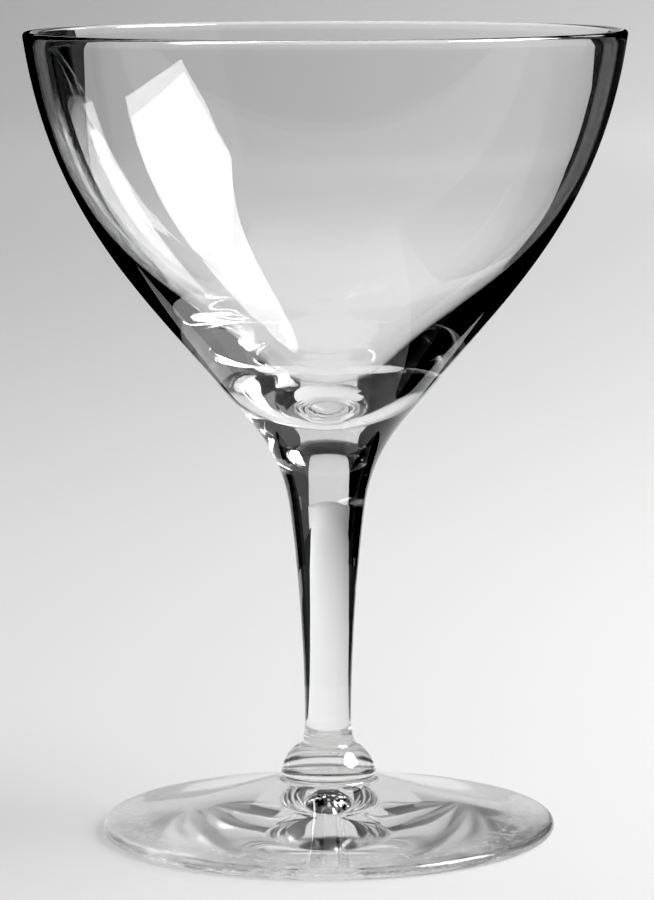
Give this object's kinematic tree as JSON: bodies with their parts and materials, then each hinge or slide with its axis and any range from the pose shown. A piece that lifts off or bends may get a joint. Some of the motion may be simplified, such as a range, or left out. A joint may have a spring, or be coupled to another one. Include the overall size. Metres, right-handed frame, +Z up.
{
  "type": "sherbet glass",
  "caption": "Clear stemmed sherbet glass with a deep flared bowl on a tapering drawn stem, a button knop and a round domed foot, for serving a cold dessert or drink.",
  "frame": {"origin": "middle of the flat ring under the foot, on the table", "axes": "+Z up along the axis of the glass, +X and +Y across it in any direction, since the glass is round"},
  "size_m": [0.0898, 0.0898, 0.121],
  "materials": {
    "bowl_glass": "clear blown glass, fire-polished at the lip",
    "stem_glass": "clear solid drawn glass, smooth",
    "knop_glass": "clear solid glass, smooth",
    "foot_glass": "clear pressed-out glass, smooth, worn on the resting ring"
  },
  "bodies": {
    "root": {"bowl": "bowl_glass", "stem": "stem_glass", "knop": "knop_glass", "foot": "foot_glass"}
  },
  "joints": []
}
